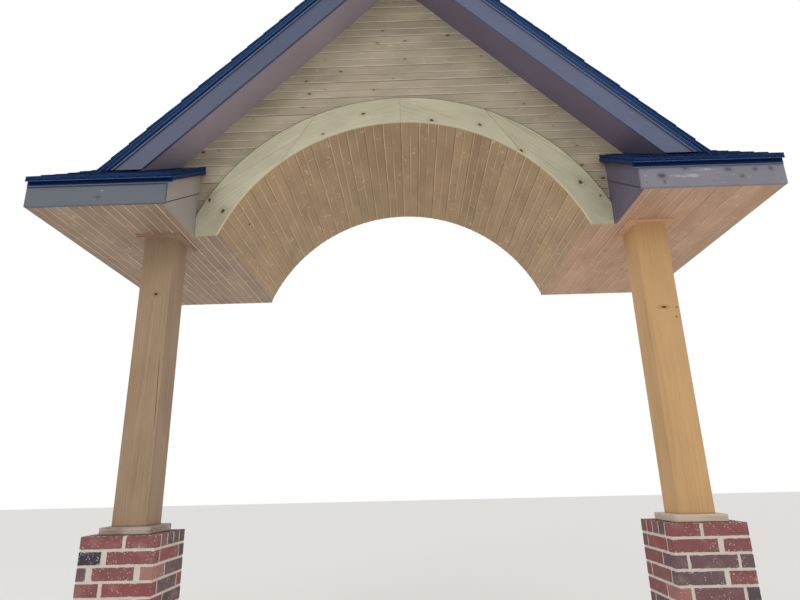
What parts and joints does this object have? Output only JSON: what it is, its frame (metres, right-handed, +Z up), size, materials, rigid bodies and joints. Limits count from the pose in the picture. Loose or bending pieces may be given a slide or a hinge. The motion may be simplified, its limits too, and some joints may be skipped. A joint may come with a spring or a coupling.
{
  "type": "gabled porch canopy",
  "caption": "Gabled entrance porch with a boarded barrel vault behind an arched trim board, boxed eave returns, and timber posts on brick piers.",
  "frame": {"origin": "centre of the back face of the centre wall ledger, on the house wall plane", "axes": "+Z up, -Y out of the house towards the front, +X to the right as seen from the front"},
  "size_m": [4.3, 1.975, 4.95],
  "materials": {
    "brick": "rough fired clay in light mortar",
    "base_plate": "weathered, bare",
    "post": "clear oiled cedar, satin",
    "collar": "clear sealed, satin",
    "soffit": "beaded boards, satin stain",
    "vault": "beaded boards, satin stain",
    "trim": "treated pine, bare",
    "gable": "knotty pine boards, satin stain",
    "fascia": "stained mauve grey, worn",
    "rake_soffit": "stained mauve brown",
    "drip": "painted sheet metal",
    "shingle": "dark mineral granules on felt",
    "deck": "rough plywood",
    "framing": "sawn softwood"
  },
  "bodies": {
    "root": {"pier_left": "brick", "pier_right": "brick", "base_plate_left": "base_plate", "base_plate_right": "base_plate", "post_left": "post", "post_right": "post", "post_collar_left": "collar", "post_collar_right": "collar", "soffit_left": "soffit", "soffit_right": "soffit", "vault_ceiling": "vault", "arch_trim": "trim", "gable_boards": "gable", "eave_fascia_left": "fascia", "eave_fascia_right": "fascia", "return_board_left": "fascia", "return_board_right": "fascia", "return_infill_left": "fascia", "return_infill_right": "fascia", "rake_fascia_left": "fascia", "rake_fascia_right": "fascia", "rake_soffit_left": "rake_soffit", "rake_soffit_right": "rake_soffit", "gable_deck_left": "deck", "gable_deck_right": "deck", "gable_shingles_left": "shingle", "gable_shingles_right": "shingle", "main_deck_left": "deck", "main_deck_right": "deck", "main_shingles_left": "shingle", "main_shingles_right": "shingle", "ridge_cap": "shingle", "rake_drip_edge": "drip", "eave_drip_edge": "drip", "ridge_board": "framing", "gable_rafters": "framing", "valley_rafters": "framing", "main_rafters": "framing", "vault_ribs": "framing", "headers": "framing", "ceiling_joists": "framing", "wall_ledger": "framing", "side_ledgers": "framing", "gable_studs": "framing", "rake_lookouts": "framing"}
  },
  "joints": []
}
